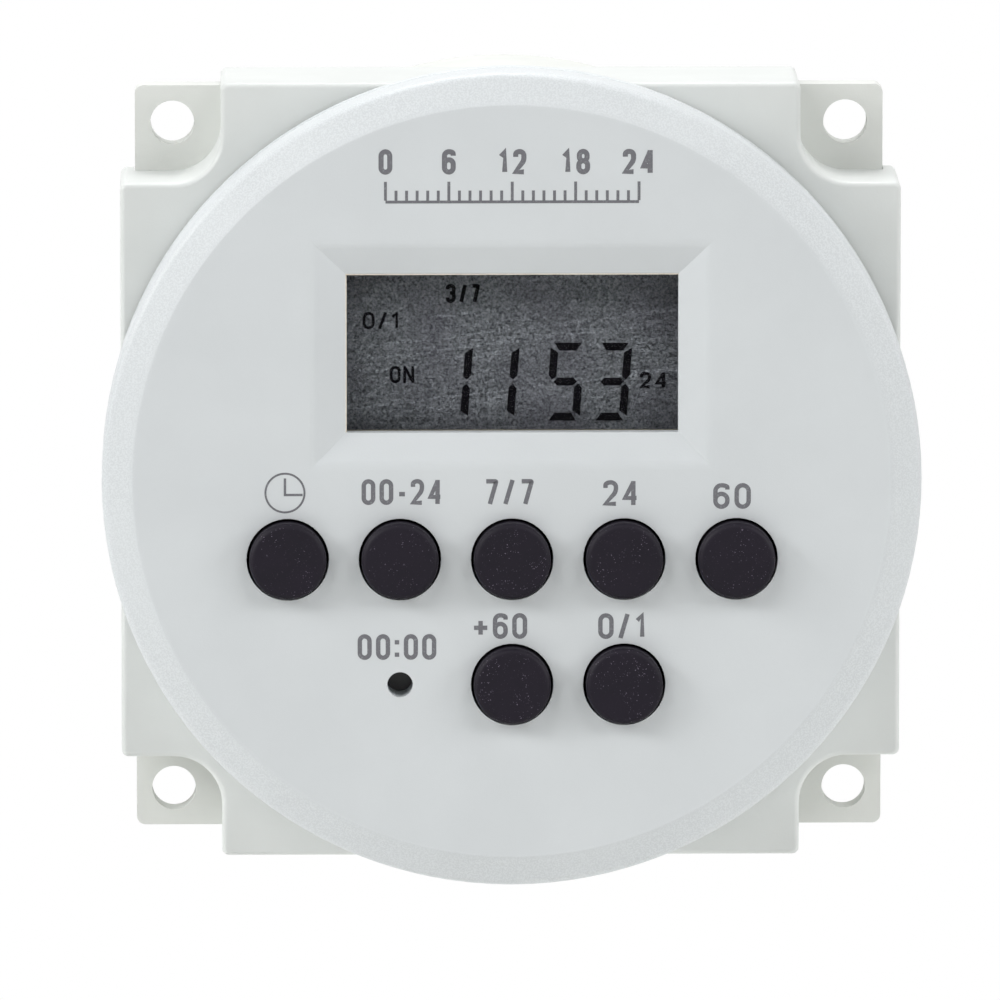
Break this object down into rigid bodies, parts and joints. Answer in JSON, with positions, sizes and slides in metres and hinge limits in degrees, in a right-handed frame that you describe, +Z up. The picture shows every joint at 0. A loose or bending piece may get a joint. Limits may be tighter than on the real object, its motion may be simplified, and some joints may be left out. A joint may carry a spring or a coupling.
{
  "type": "electronic timer",
  "caption": "Panel-mounted electronic time switch: round front with a display and rubber keys on a notched square housing, with a barrel and blade terminals behind.",
  "frame": {"origin": "centre of the four panel holes, on the axis of the round front, in the panel's plane (the flange's rear face)", "axes": "+X to the right as seen from the front, +Z up, the front looks along -Y and the barrel runs along +Y"},
  "size_m": [0.074, 0.0626, 0.074],
  "materials": {
    "cover_plastic": "satin moulded, pale cool grey",
    "housing_plastic": "satin moulded, pale grey",
    "rear_plastic": "satin moulded, slightly warmer grey",
    "zinc_steel": "zinc plated",
    "clear_window": "clear moulded",
    "lcd_glass": "polished",
    "lcd_backing": "dark grey-green reflective film",
    "white_plastic": "moulded",
    "zebra_rubber": "extruded",
    "key_rubber": "matte moulded silicone, near black",
    "mat_rubber": "moulded silicone",
    "carbon_pill": "pressed carbon",
    "black_plastic": "moulded",
    "plunger_plastic": "moulded",
    "circuit_board": "green solder mask",
    "black_epoxy": "moulded epoxy",
    "can_metal": "drawn can",
    "cell_steel": "nickel plated",
    "chip_ceramic": "fired ceramic",
    "ribbon_vinyl": "extruded vinyl",
    "film_box": "moulded box",
    "can_sleeve": "shrunk sleeve",
    "varistor_coat": "dipped epoxy",
    "resistor_coat": "cement coat",
    "relay_case": "moulded",
    "copper_winding": "enamelled copper wire",
    "soft_iron": "plated iron",
    "spring_bronze": "rolled strip",
    "tinned_brass": "tin plated"
  },
  "bodies": {
    "module": {"front_cover": "cover_plastic", "square_housing": "housing_plastic", "rear_housing": "rear_plastic", "cover_screws": "zinc_steel", "board_screws": "zinc_steel", "power_board_screws": "zinc_steel", "housing_screws": "zinc_steel", "display_window": "clear_window", "lcd_front_glass": "lcd_glass", "lcd_rear_glass": "lcd_glass", "lcd_reflector": "lcd_backing", "lcd_frame": "white_plastic", "zebra_strips": "zebra_rubber", "keypad_mat": "mat_rubber", "reset_switch": "black_plastic", "control_board": "circuit_board", "power_board": "circuit_board", "microcontroller": "black_epoxy", "crystal": "can_metal", "battery_holder": "black_plastic", "backup_battery": "cell_steel", "control_resistors": "black_epoxy", "control_capacitors": "chip_ceramic", "ribbon_sockets": "white_plastic", "ribbon_cable": "ribbon_vinyl", "dropper_capacitor": "film_box", "smoothing_capacitor": "can_sleeve", "surge_varistor": "varistor_coat", "fusible_resistor": "resistor_coat", "rectifier_diodes": "black_epoxy", "relay_base": "black_plastic", "relay_cover": "relay_case", "relay_bobbin": "white_plastic", "relay_coil": "copper_winding", "relay_core": "soft_iron", "relay_yoke": "soft_iron", "relay_fixed_contacts": "spring_bronze", "blade_terminals": "tinned_brass"},
    "clock_button": {"clock_key": "key_rubber", "clock_pill": "carbon_pill"},
    "timer_button": {"timer_key": "key_rubber", "timer_pill": "carbon_pill"},
    "day_button": {"day_key": "key_rubber", "day_pill": "carbon_pill"},
    "hour_button": {"hour_key": "key_rubber", "hour_pill": "carbon_pill"},
    "minute_button": {"minute_key": "key_rubber", "minute_pill": "carbon_pill"},
    "add_hour_button": {"add_hour_key": "key_rubber", "add_hour_pill": "carbon_pill"},
    "override_button": {"override_key": "key_rubber", "override_pill": "carbon_pill"},
    "reset_button": {"reset_plunger": "plunger_plastic"},
    "relay_moving": {"relay_armature": "soft_iron", "relay_contact_spring": "spring_bronze"}
  },
  "joints": [
    {"name": "clock_press", "type": "slide", "parent": "module", "child": "clock_button", "axis": [0, 1, 0], "range_m": [0, 0.001], "stiffness_N_per_m": 1500, "springref_m": -0.0002},
    {"name": "timer_press", "type": "slide", "parent": "module", "child": "timer_button", "axis": [0, 1, 0], "range_m": [0, 0.001], "stiffness_N_per_m": 1500, "springref_m": -0.0002},
    {"name": "day_press", "type": "slide", "parent": "module", "child": "day_button", "axis": [0, 1, 0], "range_m": [0, 0.001], "stiffness_N_per_m": 1500, "springref_m": -0.0002},
    {"name": "hour_press", "type": "slide", "parent": "module", "child": "hour_button", "axis": [0, 1, 0], "range_m": [0, 0.001], "stiffness_N_per_m": 1500, "springref_m": -0.0002},
    {"name": "minute_press", "type": "slide", "parent": "module", "child": "minute_button", "axis": [0, 1, 0], "range_m": [0, 0.001], "stiffness_N_per_m": 1500, "springref_m": -0.0002},
    {"name": "add_hour_press", "type": "slide", "parent": "module", "child": "add_hour_button", "axis": [0, 1, 0], "range_m": [0, 0.001], "stiffness_N_per_m": 1500, "springref_m": -0.0002},
    {"name": "override_press", "type": "slide", "parent": "module", "child": "override_button", "axis": [0, 1, 0], "range_m": [0, 0.001], "stiffness_N_per_m": 1500, "springref_m": -0.0002},
    {"name": "reset_press", "type": "slide", "parent": "module", "child": "reset_button", "axis": [0, 1, 0], "range_m": [0, 0.00025], "stiffness_N_per_m": 4000, "springref_m": -0.0001},
    {"name": "relay_pull_in", "type": "hinge", "parent": "module", "child": "relay_moving", "pos_m": [-0.0138, 0.0132, 0.013], "axis": [0, 0, 1], "range_deg": [0, 2.5], "stiffness_Nm_per_rad": 0.05, "springref_deg": -1.15}
  ]
}
